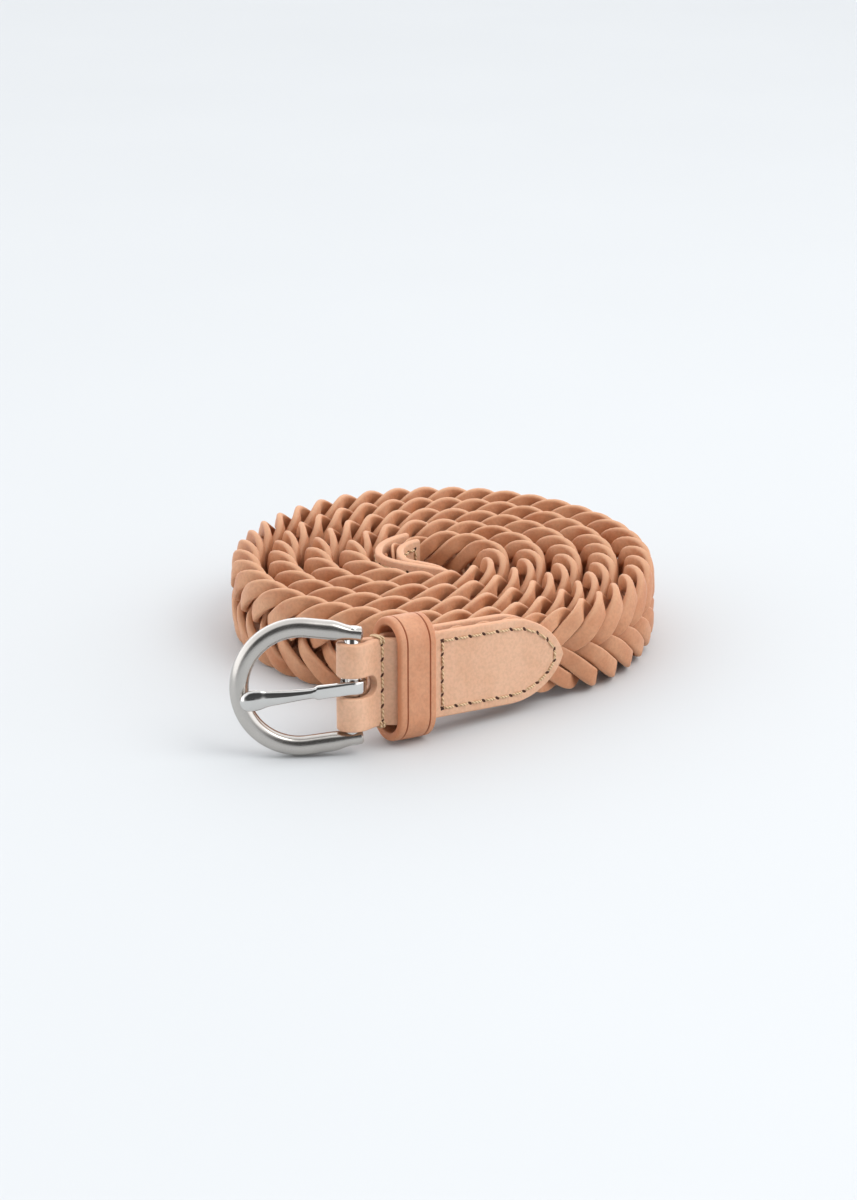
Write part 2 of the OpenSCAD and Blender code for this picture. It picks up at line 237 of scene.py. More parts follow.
def rounded_slab(w, t, r, steps=4, crown=0.0):
    """A rectangle w by t with corners of radius r, as (points, edge), counter-clockwise.

    edge is 1 on the narrow cut sides and 0 on the wide faces.
    """
    points, edge = [], []
    for cx, cy, start in ((1, 1, 0), (-1, 1, 90), (-1, -1, 180), (1, -1, 270)):
        for k in range(steps + 1):
            a = math.radians(start + 90 * k / steps)
            points.append(((w / 2 - r) * cx + r * math.cos(a), (t / 2 - r) * cy + r * math.sin(a)))
            edge.append(abs(math.cos(a)) ** 2)
        if start in (0, 180):
            points.append((0, (t / 2 + crown) * cy))
            edge.append(0)
    return np.array(points), np.array(edge)


def finish(piece, body, slot, material, *nodes):
    """Gives a piece its material and body, and hides the nodes that it stands for."""
    piece.data.materials.clear()
    piece.data.materials.append(material)
    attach(piece, body)
    if nodes:
        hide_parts(*nodes)
    return piece


# ---------------------------------------------------------------- materials
MAP_RANGE = ("From Min", "From Max", "To Min", "To Max")


def srgb(r, g, b):
    """A linear colour from 0 to 255 values."""
    return tuple(((c / 255 + 0.055) / 1.055) ** 2.4 for c in (r, g, b)) + (1,)


class Nodes:
    """A short way to build a material's node tree."""

    def __init__(self, name):
        self.material = bpy.data.materials.new(name)
        self.material.use_nodes = True
        self.tree = self.material.node_tree
        self.shader = self.tree.nodes["Principled BSDF"]
        self.place = self.new("ShaderNodeTexCoord").outputs["Object"]

    def new(self, kind, **settings):
        node = self.tree.nodes.new(kind)
        for key, value in settings.items():
            setattr(node, key, value)
        return node

    def link(self, a, b):
        self.tree.links.new(a, b)

    def noise(self, scale, detail=3.0):
        node = self.new("ShaderNodeTexNoise")
        node.inputs["Scale"].default_value = scale
        node.inputs["Detail"].default_value = detail
        node.inputs["Roughness"].default_value = 0.55
        self.link(self.place, node.inputs["Vector"])
        return node.outputs["Fac"]

    def pores(self, scale):
        node = self.new("ShaderNodeTexVoronoi", feature="F1")
        node.inputs["Scale"].default_value = scale
        self.link(self.place, node.inputs["Vector"])
        return node.outputs["Distance"]

    def value(self, name):
        return self.new("ShaderNodeAttribute", attribute_name=name).outputs["Fac"]

    def ramp(self, source, *stops):
        node = self.new("ShaderNodeValToRGB")
        ramp = node.color_ramp
        while len(ramp.elements) < len(stops):
            ramp.elements.new(0.5)
        for element, (at, colour) in zip(ramp.elements, stops):
            element.position = at
            element.color = colour
        self.link(source, node.inputs["Fac"])
        return node.outputs["Color"]

    def span(self, source, low, high, out_low, out_high):
        node = self.new("ShaderNodeMapRange", clamp=True)
        for key, value in zip(MAP_RANGE, (low, high, out_low, out_high)):
            node.inputs[key].default_value = value
        self.link(source, node.inputs["Value"])
        return node.outputs["Result"]

    def mix(self, factor, a, b, blend="MIX"):
        node = self.new("ShaderNodeMix", data_type="RGBA", blend_type=blend)
        for socket, value in ((node.inputs["Factor"], factor), (node.inputs[6], a), (node.inputs[7], b)):
            if isinstance(value, (int, float, tuple)):
                socket.default_value = value
            else:
                self.link(value, socket)
        return node.outputs[2]

    def maths(self, operation, a, b):
        node = self.new("ShaderNodeMath", operation=operation)
        for socket, value in zip(node.inputs, (a, b)):
            if isinstance(value, (int, float)):
                socket.default_value = value
            else:
                self.link(value, socket)
        return node.outputs["Value"]

    def bump(self, *layers):
        """Stacks (height, strength, distance in millimetres) layers of bump."""
        normal = None
        for height, strength, distance in layers:
            node = self.new("ShaderNodeBump")
            node.inputs["Strength"].default_value = strength
            node.inputs["Distance"].default_value = distance * MM
            self.link(height, node.inputs["Height"])
            if normal:
                self.link(normal, node.inputs["Normal"])
            normal = node.outputs["Normal"]
        self.link(normal, self.shader.inputs["Normal"])

    def set(self, **values):
        for key, value in values.items():
            self.shader.inputs[key.replace("_", " ")].default_value = value


def leather(name, light, dark, rim, grain=1.0):
    """Smooth vegetable-tanned leather: mottled faces, fine pores and paler cut edges."""
    m = Nodes(name)
    mottle = m.noise(110, detail=4)
    tone = m.ramp(mottle, (0.30, dark), (0.62, light))
    blotch = m.span(m.noise(28, detail=2), 0.35, 0.7, 0.0, 0.35)
    tone = m.mix(blotch, tone, dark)
    fleck = m.span(m.noise(1500, detail=2), 0.35, 0.75, 0.90, 1.06)
    tone = m.mix(1.0, tone, m.mix(fleck, (0.0, 0.0, 0.0, 1), (1.0, 1.0, 1.0, 1)), "MULTIPLY")
    fibre = m.span(m.noise(900, detail=3), 0.3, 0.7, 0.75, 1.0)
    cut = m.maths("MULTIPLY", m.value("edge"), fibre)
    m.link(m.mix(cut, tone, rim), m.shader.inputs["Base Color"])
    rough = m.span(mottle, 0.2, 0.8, 0.42, 0.58)
    rougher = m.maths("MULTIPLY", m.value("edge"), 0.2)
    m.link(m.maths("ADD", rough, rougher), m.shader.inputs["Roughness"])
    m.bump((m.pores(1300), 0.22 * grain, 0.12), (m.noise(420, detail=4), 0.25 * grain, 0.2))
    m.set(Subsurface_Weight=0.08, Subsurface_Scale=0.0012, Specular_IOR_Level=0.35)
    m.shader.inputs["Subsurface Radius"].default_value = (1.0, 0.45, 0.25)
    return m.material


def metal(name, colour, rough_low, rough_high, scratch):
    """Nickel-plated metal with a fine, uneven polish."""
    m = Nodes(name)
    haze = m.noise(140, detail=3)
    duller = tuple(c * 0.9 for c in colour[:3]) + (1,)
    m.link(m.ramp(haze, (0.3, duller), (0.7, colour)), m.shader.inputs["Base Color"])
    m.link(m.span(haze, 0.25, 0.75, rough_low, rough_high), m.shader.inputs["Roughness"])
    m.bump((m.noise(2600, detail=2), scratch, 0.004))
    m.set(Metallic=1.0)
    return m.material


def linen(name):
    """Waxed linen thread: its ply shows as slanting bands."""
    m = Nodes(name)
    ply = m.new("ShaderNodeTexWave", wave_type="BANDS", bands_direction="DIAGONAL")
    ply.inputs["Scale"].default_value = 620
    ply.inputs["Distortion"].default_value = 1.5
    m.link(m.place, ply.inputs["Vector"])
    tone = m.ramp(ply.outputs["Fac"], (0.1, srgb(176, 142, 104)), (0.7, srgb(222, 192, 154)))
    m.link(tone, m.shader.inputs["Base Color"])
    m.bump((ply.outputs["Fac"], 0.6, 0.1), (m.noise(3000), 0.3, 0.05))
    m.set(Roughness=0.7)
    return m.material


def painted_hole_shade(name):
    """Painted shade: the dark inside of an awl hole."""
    m = Nodes(name)
    tone = m.ramp(m.noise(1500), (0.3, srgb(52, 27, 16)), (0.7, srgb(84, 48, 30)))
    m.link(tone, m.shader.inputs["Base Color"])
    m.bump((m.noise(2500), 0.4, 0.05))
    m.set(Roughness=0.9)
    return m.material


STRAND_LEATHER = leather(
    "strand_leather", light=srgb(209, 157, 121), dark=srgb(186, 122, 84), rim=srgb(208, 160, 126),
)
CHAPE_LEATHER = leather(
    "chape_leather", light=srgb(225, 181, 150), dark=srgb(214, 165, 132), rim=srgb(214, 162, 128), grain=0.8,
)
KEEPER_LEATHER = leather(
    "keeper_leather", light=srgb(208, 152, 117), dark=srgb(194, 130, 93), rim=srgb(194, 128, 91),
)
SATIN_METAL = metal("satin_nickel", (0.54, 0.515, 0.485, 1), 0.19, 0.27, 0.10)
POLISHED_METAL = metal("polished_nickel", (0.66, 0.65, 0.63, 1), 0.07, 0.12, 0.02)
LINEN = linen("linen_thread")
# painted shade: a dark lens stands in for the hollow of each awl hole
HOLE_SHADE = painted_hole_shade("awl_hole_shade")


# ---------------------------------------------------------------- braided strands
def free_braid(s):
    """1 where the braid runs free, falling to 0 where it lies in the chape or the tip."""
    return ease((s - TAB_END_X) / FLARE_RUN) * ease((TIP_START - s) / FLARE_RUN)


def braid_point(p):
    free = free_braid(p[..., 0])
    thin = COVER_T / STRAP_T + (1 - COVER_T / STRAP_T) * free
    narrow = 0.9 + 0.1 * free
    return on_strap(p[..., 0], p[..., 1] * thin, p[..., 2] * narrow)


def strand(number):
    """One strand: it crosses from edge to edge, over two strands and under two."""
    rings_per_lay = 54
    wave_3 = 0.1
    wave_6 = 0.11
    face_roll = 0.3
    count = int((BRAID_END - BRAID_START) / LAY * rings_per_lay)
    s = np.linspace(BRAID_START, BRAID_END, count)[:, None]
    f = 2 * math.pi * (s / LAY + number / STRANDS)
    swing = (STRAP_W - STRAND_W) / 2
    bulge = (STRAP_T - STRAND_T) / 2
    z = swing * (np.sin(f) - wave_3 * np.sin(3 * f)) / (1 + wave_3)
    dz = swing * (np.cos(f) - 3 * wave_3 * np.cos(3 * f)) / (1 + wave_3) * 2 * math.pi / LAY
    y = bulge * (np.sin(2 * f) + wave_6 * np.sin(6 * f)) / (1 - wave_6)
    a = np.arctan(dz)
    roll = -face_roll * np.cos(f) * np.abs(np.cos(f))
    across = np.stack([-np.sin(a) * np.cos(roll), np.sin(roll), np.cos(a) * np.cos(roll)], axis=-1)
    middle = np.stack([s, y, z], axis=-1)
    section, edge = rounded_slab(STRAND_W + 0.15, STRAND_T + 0.1, 0.7, steps=4, crown=0.12)
    through = np.array([0.0, 1.0, 0.0])
    points = middle + across * section[:, 0][None, :, None] + through * section[:, 1][None, :, None]
    piece = skin(f"braid_strand_{number}", braid_point(points), sharp=60)
    add_value(piece, "edge", np.tile(edge, count))
    return finish(piece, "belt", "strand_leather", STRAND_LEATHER, f"strand_{number}")


for number in range(1, STRANDS + 1):
    strand(number)


# ---------------------------------------------------------------- chape
def smooth_line(x0, y0, x1, y1, x):
    """An S-shaped run from y0 at x0 to y1 at x1."""
    return y0 + (y1 - y0) * ease((x - x0) / (x1 - x0))


def layer_inner(x):
    """Distance of a chape layer's inner face from the middle plane."""
    closing = smooth_line(0, FOLD_R, FOLD_ROW_X - PINCH, LAYER_GAP, x)
    opening = smooth_line(FOLD_ROW_X + PINCH, LAYER_GAP, COVER_X, COVER_GAP, x)
    return np.where(x < FOLD_ROW_X, closing, opening)


def tab_half(x):
    """Half height of the chape's outline at x."""
    t = np.clip((x - TAB_SHOULDER_X) / (TAB_END_X - TAB_SHOULDER_X), 0, 1)
    return LEATHER_W / 2 * (1 - t**2) ** (NOSE_POWER / 2)


def chape_stations():
    """Stations along the folded strip: middle line x and y, and the outward normal."""
    t = np.linspace(0, 1, 26)
    nose = TAB_SHOULDER_X + (TAB_END_X - TAB_SHOULDER_X - 0.01) * np.sin(t * math.pi / 2)
    slot_r = SLOT_H / 2
    near_slot = SLOT_END_X - slot_r * (1 - np.cos(np.linspace(0, math.pi / 2, 12)))
    x = np.unique(np.round(np.concatenate([
        np.linspace(0, SLOT_END_X - slot_r, 8), near_slot, np.linspace(SLOT_END_X + 0.15, 11, 34),
        np.linspace(11.5, TAB_SHOULDER_X, 40), nose,
    ]), 4))
    y = layer_inner(x) + LEATHER_T / 2
    slope = np.gradient(y, x)
    slope[0] = 0
    normal = np.stack([-slope, np.ones_like(x)], axis=-1) / np.sqrt(1 + slope**2)[:, None]
    a = np.linspace(math.pi / 2, 3 * math.pi / 2, 40)[1:-1]
    r = FOLD_R + LEATHER_T / 2
    back = np.stack([x, y], axis=-1)[::-1]
    bend = np.stack([r * np.cos(a), r * np.sin(a)], axis=-1)
    front = np.stack([x, -y], axis=-1)
    normals = np.concatenate([normal[::-1], np.stack([np.cos(a), np.sin(a)], axis=-1), normal * [1, -1]])
    return np.concatenate([back, bend, front]), normals


def slot_half(x):
    """Half height of the prong's slot at x: straight sides and a round end."""
    r = SLOT_H / 2
    centre = SLOT_END_X - r
    half = np.where(x < centre, r, np.sqrt(np.maximum(r**2 - (x - centre) ** 2, 0)))
    return np.where(x >= SLOT_END_X - 1e-3, 0, half)


def half_section(low, high):
    """Rows of (z, y, edge) round the leather between the slot's edge, low, and the outer edge, high."""
    outer_round, slot_round = 0.45, 0.3
    outer, inner = min(outer_round, high / 2), min(slot_round, low)
    slotted = 1 if inner > 0 else 0
    z_outer, z_inner = high - outer, low + inner
    face = LEATHER_T / 2
    bends = np.linspace(0, math.pi / 2, 6)
    flat = np.linspace(0, 1, 15)[1:-1]

    def outer_corner(a, side):
        drop = outer_round * (1 - math.cos(a))
        return z_outer + outer * math.sin(a), side * (face - drop), math.sin(a) ** 2

    def slot_corner(a, side):
        drop = slotted * slot_round * (1 - math.cos(a))
        return z_inner - inner * math.sin(a), side * (face - drop), slotted * 0.6 * math.sin(a) ** 2

    rows = [outer_corner(a, 1) for a in bends]
    rows += [outer_corner(a, -1) for a in bends[::-1]]
    rows += [(z_outer + (z_inner - z_outer) * k, -face, 0) for k in flat]
    rows += [slot_corner(a, -1) for a in bends]
    rows += [slot_corner(a, 1) for a in bends[::-1]]
    rows += [(z_inner + (z_outer - z_inner) * k, face, 0) for k in flat]
    return np.array(rows)


def chape_halves():
    """The strip above and below the slot. The halves join where there is no slot."""
    middle, normal = chape_stations()
    outer_edge = tab_half(np.maximum(middle[:, 0], 0))
    slot_edge = slot_half(middle[:, 0])
    solids = []
    for side in (1, -1):
        rings, edges = [], []
        for at, out, low, high in zip(middle, normal, slot_edge, outer_edge):
            section = half_section(low, high)
            rings.append(np.column_stack([at + out * section[:, 1:2], side * section[:, 0]]))
            edges.append(section[:, 2])
        faces = ring_faces(len(rings), len(rings[0]))
        if side > 0:
            faces = [face[::-1] for face in faces]
        solids.append((at_chape(np.concatenate(rings)), faces, np.concatenate(edges)))
    return solids


def drop_inner_walls(piece):
    """Joins the two halves along the middle and removes the wall between them."""
    work = bmesh.new()
    work.from_mesh(piece.data)
    bmesh.ops.remove_doubles(work, verts=work.verts, dist=0.002 * MM)
    pairs = {}
    for face in work.faces:
        pairs.setdefault(frozenset(v.index for v in face.verts), []).append(face)
    doubled = [f for group in pairs.values() if len(group) > 1 for f in group]
    bmesh.ops.delete(work, geom=doubled, context="FACES")
    bmesh.ops.recalc_face_normals(work, faces=work.faces)
    work.to_mesh(piece.data)
    work.free()
    piece.data.shade_smooth()
    piece.data.set_sharp_from_angle(angle=math.radians(50))


def chape():
    solids = chape_halves()
    piece = merge_solids("chape_strip", [(p, f) for p, f, _ in solids])
    add_value(piece, "edge", np.concatenate([e for _, _, e in solids]))
    drop_inner_walls(piece)
    return finish(piece, "belt", "chape_leather", CHAPE_LEATHER, "chape")


chape()


# ---------------------------------------------------------------- stitches
def thread_arc(a, b, out, sink, rise, radius=THREAD_R, steps=12, sides=10):
    """One stitch from a to b: a tube that dives into the leather at both ends."""
    a, b, out = (np.asarray(v, float) for v in (a, b, out))
    t = np.linspace(0, 1, steps + 1)
    height = rise - (rise + sink) * np.abs(2 * t - 1) ** 5
    middle = a + (b - a) * t[:, None] + out * height[:, None]
    along = np.gradient(middle, axis=0)
    along /= np.linalg.norm(along, axis=1)[:, None]
    side = np.cross(along, out)
    side /= np.linalg.norm(side, axis=1)[:, None]
    up = np.cross(side, along)
    c = np.linspace(0, 2 * math.pi, sides, endpoint=False)
    body = radius * (0.82 + 0.18 * np.sin(math.pi * t))[:, None, None]
    rings = middle[:, None] + body * (np.cos(c)[:, None] * side[:, None] + np.sin(c)[:, None] * up[:, None])
    return rings.reshape(-1, 3), ring_faces(steps + 1, sides)


def hole_shade_lens(at, along, out, length=1.15, width=0.6):
    """The slanted slit of an awl hole: a thin lens of painted shade set just proud of the leather."""
    at, along, out = (np.asarray(v, float) for v in (at, along, out))
    side = np.cross(along, out)
    slant = math.radians(35)
    long_way = math.cos(slant) * along + math.sin(slant) * side
    short_way = np.cross(out, long_way)
    c = np.linspace(0, 2 * math.pi, 14, endpoint=False)
    ring = length / 2 * np.cos(c)[:, None] * long_way + width / 2 * np.sin(c)[:, None] * short_way
    rings = [at + out * 0.03 + 0.35 * ring, at + out * 0.02 + ring, at - out * 0.2 + 0.8 * ring]
    return np.concatenate(rings), ring_faces(3, 14)


def stitch_row(points, outs):
    """Threads along a row of hole places, each with the leather's outward direction, and a lens of painted
    shade at each place.
    """
    threads, hole_shades = [], []
    for a, b, oa, ob in zip(points[:-1], points[1:], outs[:-1], outs[1:]):
        out = (oa + ob) / 2
        gap = (b - a) * 0.13
        threads.append(thread_arc(a + gap, b - gap, out, sink=0.35, rise=THREAD_R * 0.72))
    for i, (p, o) in enumerate(zip(points, outs)):
        ahead = points[min(i + 1, len(points) - 1)] - points[max(i - 1, 0)]
        hole_shades.append(hole_shade_lens(p, ahead / np.linalg.norm(ahead), o))
    return threads, hole_shades


def faced(flat, face, side):
    """Places and outward directions on the chape for (x, z) points at a layer's face."""
    places = at_chape([(x, side * face, z) for x, z in flat])
    out = CHAPE_AXES @ np.array([0, side, 0])
    return places, np.tile(out, (len(places), 1))


def line(a, b, n):
    """n equal steps from a to b."""
    return [tuple(np.array(a) + (np.array(b) - np.array(a)) * i / n) for i in range(n + 1)]


def tab_row():
    """Hole places round the tab, from its upper corner over the point to its lower corner."""
    start = TAB_ROW_X
    count = round((TAB_SHOULDER_X - start) / STITCH_PITCH)
    upper = line((start, ROW_Z), (TAB_SHOULDER_X, ROW_Z), count)
    reach = TAB_END_X - TAB_SHOULDER_X - STITCH_INSET
    for a in np.radians([73, 54, 36, 15]):
        upper.append((TAB_SHOULDER_X + reach * math.cos(a), ROW_Z * math.sin(a) ** NOSE_POWER))
    return upper + [(x, -z) for x, z in reversed(upper)]


def chape_stitches():
    rows = {
        "fold": [(line((FOLD_ROW_X, -ROW_Z - 1), (FOLD_ROW_X, ROW_Z + 1), 5), FOLD_FACE)],
        "tab": [(tab_row(), TAB_FACE), (line((TAB_ROW_X, -ROW_Z), (TAB_ROW_X, ROW_Z), 5), TAB_FACE)],
    }
    for name, parts in rows.items():
        threads, hole_shades = [], []
        for flat, face in parts:
            for side in (-1, 1):
                t, h = stitch_row(*faced(flat, face, side))
                threads += t
                hole_shades += h
        if name == "fold":
            threads += edge_wraps()
        finish(merge_solids(f"{name}_thread", threads), "belt", "thread", LINEN, f"{name}_stitching")
        # a lens of painted shade at each awl hole
        finish(merge_solids(f"{name}_holes", hole_shades), "belt", "chape_leather", HOLE_SHADE)


def edge_wraps():
    """The closing threads that pass over the chape's edges at the fold row."""
    wraps = []
    face = FOLD_FACE + THREAD_R * 0.5
    for side in (-1, 1):
        top = side * (LEATHER_W / 2)
        inner = side * (ROW_Z + 1)
        over = top + side * THREAD_R
        back_half = [(face * 0.8, inner), (face, inner + side * 0.4), (face, top), (face * 0.6, over)]
        path = [(-y, z) for y, z in back_half] + back_half[::-1]
        for shift in (-0.35, 0.35):
            points = at_chape([(FOLD_ROW_X + shift, y, z) for y, z in path])
            wraps.append(tube(points, THREAD_R))
    return wraps


def tube(points, radius, sides=10, per=5):
    """A smooth round tube through points."""
    points = np.asarray(points, float)
    n = len(points)
    padded = np.vstack([2 * points[0] - points[1], points, 2 * points[-1] - points[-2]])
    path = []
    for i in range(n - 1):
        p0, p1, p2, p3 = padded[i:i + 4]
        for t in np.linspace(0, 1, per, endpoint=False):
            path.append(0.5 * (2 * p1 + (p2 - p0) * t + (2 * p0 - 5 * p1 + 4 * p2 - p3) * t**2
                               + (3 * p1 - p0 - 3 * p2 + p3) * t**3))
    path = np.array(path + [points[-1]])
    along = np.gradient(path, axis=0)
    along /= np.linalg.norm(along, axis=1)[:, None]
    side = np.cross(along, CHAPE_AXES[:, 0])
    side /= np.linalg.norm(side, axis=1)[:, None]
    up = np.cross(side, along)
    c = np.linspace(0, 2 * math.pi, sides, endpoint=False)
    rings = path[:, None] + radius * (np.cos(c)[:, None] * side[:, None] + np.sin(c)[:, None] * up[:, None])
    return rings.reshape(-1, 3), ring_faces(len(path), sides)


chape_stitches()


# ---------------------------------------------------------------- keeper
def keeper_path():
    """The band's middle line as (y, z), from one side of the joint at the back round to the other."""
    overhang = 2.2
    joint_half = 0.12
    r = KEEPER_GAP / 2 + KEEPER_T / 2
    half = LEATHER_W / 2 + overhang + KEEPER_T / 2 - r
    bend = np.linspace(0, math.pi, 34)[1:]
    path = [(r, z) for z in np.linspace(joint_half, half, 10)]
    path += [(r * math.cos(a), half + r * math.sin(a)) for a in bend]
    path += [(-r, z) for z in np.linspace(half, -half, 18)[1:]]
    path += [(-r * math.cos(a), -half - r * math.sin(a)) for a in bend]
    path += [(r, z) for z in np.linspace(-half, -joint_half, 10)[1:]]
    return np.array(path)


def keeper():
    """A creased leather band bent into a loop, butt-jointed at the back."""
    path = keeper_path()
    along = np.gradient(path, axis=0)
    along /= np.linalg.norm(along, axis=1)[:, None]
    normal = np.stack([along[:, 1], -along[:, 0]], axis=-1)
    section, edge, crease = keeper_section()
    middle = KEEPER_X + KEEPER_W / 2
    rings = [
        np.column_stack([middle + section[:, 0], p + n * section[:, 1:2]])
        for p, n in zip(path, normal)
    ]
    piece = skin("keeper_loop", at_chape(np.array(rings)), sharp=55)
    add_value(piece, "edge", np.tile(edge, len(path)))
    add_value(piece, "crease", np.tile(crease, len(path)))
    finish(piece, "keeper", "keeper_leather", creased(KEEPER_LEATHER), "keeper")


def keeper_threads():
    """Three threads across the joint at the back of the loop."""
    reach, spacing = 2.2, 1.6
    face = KEEPER_GAP / 2 + KEEPER_T
    out = CHAPE_AXES @ np.array([0, 1, 0])
    threads = []
    for step in (-1, 0, 1):
        x = KEEPER_X + KEEPER_W / 2 + step * spacing
        ends = at_chape([(x, face, -reach), (x, face, reach)])
        threads.append(thread_arc(*ends, out, sink=0.3, rise=0.26))
    finish(merge_solids("keeper_thread", threads), "keeper", "thread", LINEN, "keeper_stitching")


def keeper_section():
    """Across the band: rounded edges, and a pressed crease line near each edge."""
    corner, crease_in, crease_half, crease_deep = 0.6, 1.7, 0.22, 0.24
    flat, face = KEEPER_W / 2 - corner, KEEPER_T / 2
    bends = np.linspace(0, math.pi / 2, 6)

    def round_corner(side, up, a):
        drop = corner * (1 - math.cos(a))
        return side * (flat + corner * math.sin(a)), up * (face - drop), math.sin(a) ** 2, 0

    def crease_line(side):
        centre = side * (KEEPER_W / 2 - crease_in)
        rows = [(1, 0, 0), (0.5, -0.7, 0.7), (0, -1, 1), (-0.5, -0.7, 0.7), (-1, 0, 0)]
        return [
            (centre + across * crease_half, face + sunk * crease_deep + 0.03 * (1 - dark), 0, dark)
            for across, sunk, dark in rows
        ]

    inner = KEEPER_W / 2 - crease_in - 0.8
    rows = [round_corner(1, 1, a) for a in bends[::-1]]
    rows += crease_line(1)
    rows += [(x, face + 0.06, 0, 0) for x in np.linspace(inner, -inner, 7)]
    rows += crease_line(-1)
    rows += [round_corner(-1, 1, a) for a in bends]
    rows += [round_corner(-1, -1, a) for a in bends[::-1][1:]]
    rows += [(x, -face, 0, 0) for x in np.linspace(-2.5, 2.5, 5)]
    rows += [round_corner(1, -1, a) for a in bends[:-1]]
    rows = np.array(rows)
    return rows[:, :2], rows[:, 2], rows[:, 3]


def creased(material):
    """Darkens the pressed crease lines of the keeper's leather."""
    tree = material.node_tree
    shader = tree.nodes["Principled BSDF"]
    source = shader.inputs["Base Color"].links[0].from_socket
    mix = tree.nodes.new("ShaderNodeMix")
    mix.data_type = "RGBA"
    read = tree.nodes.new("ShaderNodeAttribute")
    read.attribute_name = "crease"
    tree.links.new(read.outputs["Fac"], mix.inputs["Factor"])
    tree.links.new(source, mix.inputs[6])
    mix.inputs[7].default_value = srgb(150, 74, 40)
    tree.links.new(mix.outputs[2], shader.inputs["Base Color"])
    return material


keeper()
keeper_threads()


# ---------------------------------------------------------------- buckle
def soft(v, power):
    return np.sign(v) * np.abs(v) ** power


def oval(w, d, power, n=40):
    a = np.linspace(0, 2 * math.pi, n, endpoint=False)
    return np.stack([w / 2 * soft(np.cos(a), power), d / 2 * soft(np.sin(a), power)], axis=-1)


def rail_length():
    """Length of each straight rail, from the round end to the line of the bar."""
    fall = math.radians(RAIL_FALL)
    return (FRAME_REACH - FRAME_W / 2 - FRAME_R - FRAME_R * math.sin(fall)) / math.cos(fall)


def buckle_frame():
    """A horseshoe of soft oval metal whose ends narrow into lugs."""
    cx = -(FRAME_REACH - FRAME_W / 2 - FRAME_R)
    fall = math.radians(RAIL_FALL)
    lug_len, lug_w, lug_taper, inward = 2.2, 2.9, 4.5, 0.25
    end_round, end_run = 0.45, 0.4

    def ring(b, run, x):
        """A section at angle b, run along the rail, and x beyond the bar."""
        out = np.array([math.cos(b), 0, math.sin(b)])
        ahead = np.array([-math.sin(b), 0, math.cos(b)])
        lug = float(ease((x + lug_taper) / lug_taper))
        end = end_round * max(0.0, x - lug_len + end_run) / end_run
        section = oval(FRAME_W + (lug_w - FRAME_W) * lug - 2 * end, FRAME_D - 2 * end, 0.8 - 0.1 * lug)
        middle = np.array([cx, 0, 0]) + (FRAME_R - inward * lug) * out + run * ahead
        return middle + section[:, 0:1] * out + section[:, 1:2] * [0, 1, 0]

    first, last = math.pi / 2 - fall, 3 * math.pi / 2 + fall
    along = np.concatenate([
        np.linspace(lug_len, lug_len - end_run, 3),
        np.linspace(lug_len - end_run - 0.2, -8.5, 36),
    ])
    rail = rail_length()
    rings = [ring(first, -(rail + x), x) for x in along]
    rings += [ring(b, 0, -rail) for b in np.linspace(first, last, 120)]
    rings += [ring(last, rail + x, x) for x in along[::-1]]
    piece = skin("horseshoe_frame", at_frame(np.array(rings)), sharp=30)
    return finish(piece, "buckle", "buckle_metal", SATIN_METAL, "buckle_frame")


def buckle_bar():
    """The bar, with softly domed ends."""
    fall = math.radians(RAIL_FALL)
    end = FRAME_R * math.cos(fall) - rail_length() * math.sin(fall) + 1.2
    profile = [(0.05, -end - 0.05), (0.9, -end), (1.4, -end + 0.1), (BAR_R, -end + 0.35)]
    profile += [(r, -z) for r, z in reversed(profile)]
    a = np.linspace(0, 2 * math.pi, 32, endpoint=False)
    rings = [np.column_stack([r * np.cos(a), r * np.sin(a), np.full(32, z)]) for r, z in profile]
    rings = [ring[::-1] for ring in rings]
    piece = skin("frame_bar", at_frame(np.array(rings)))
    return finish(piece, "buckle", "prong_metal", POLISHED_METAL, "buckle_bar")


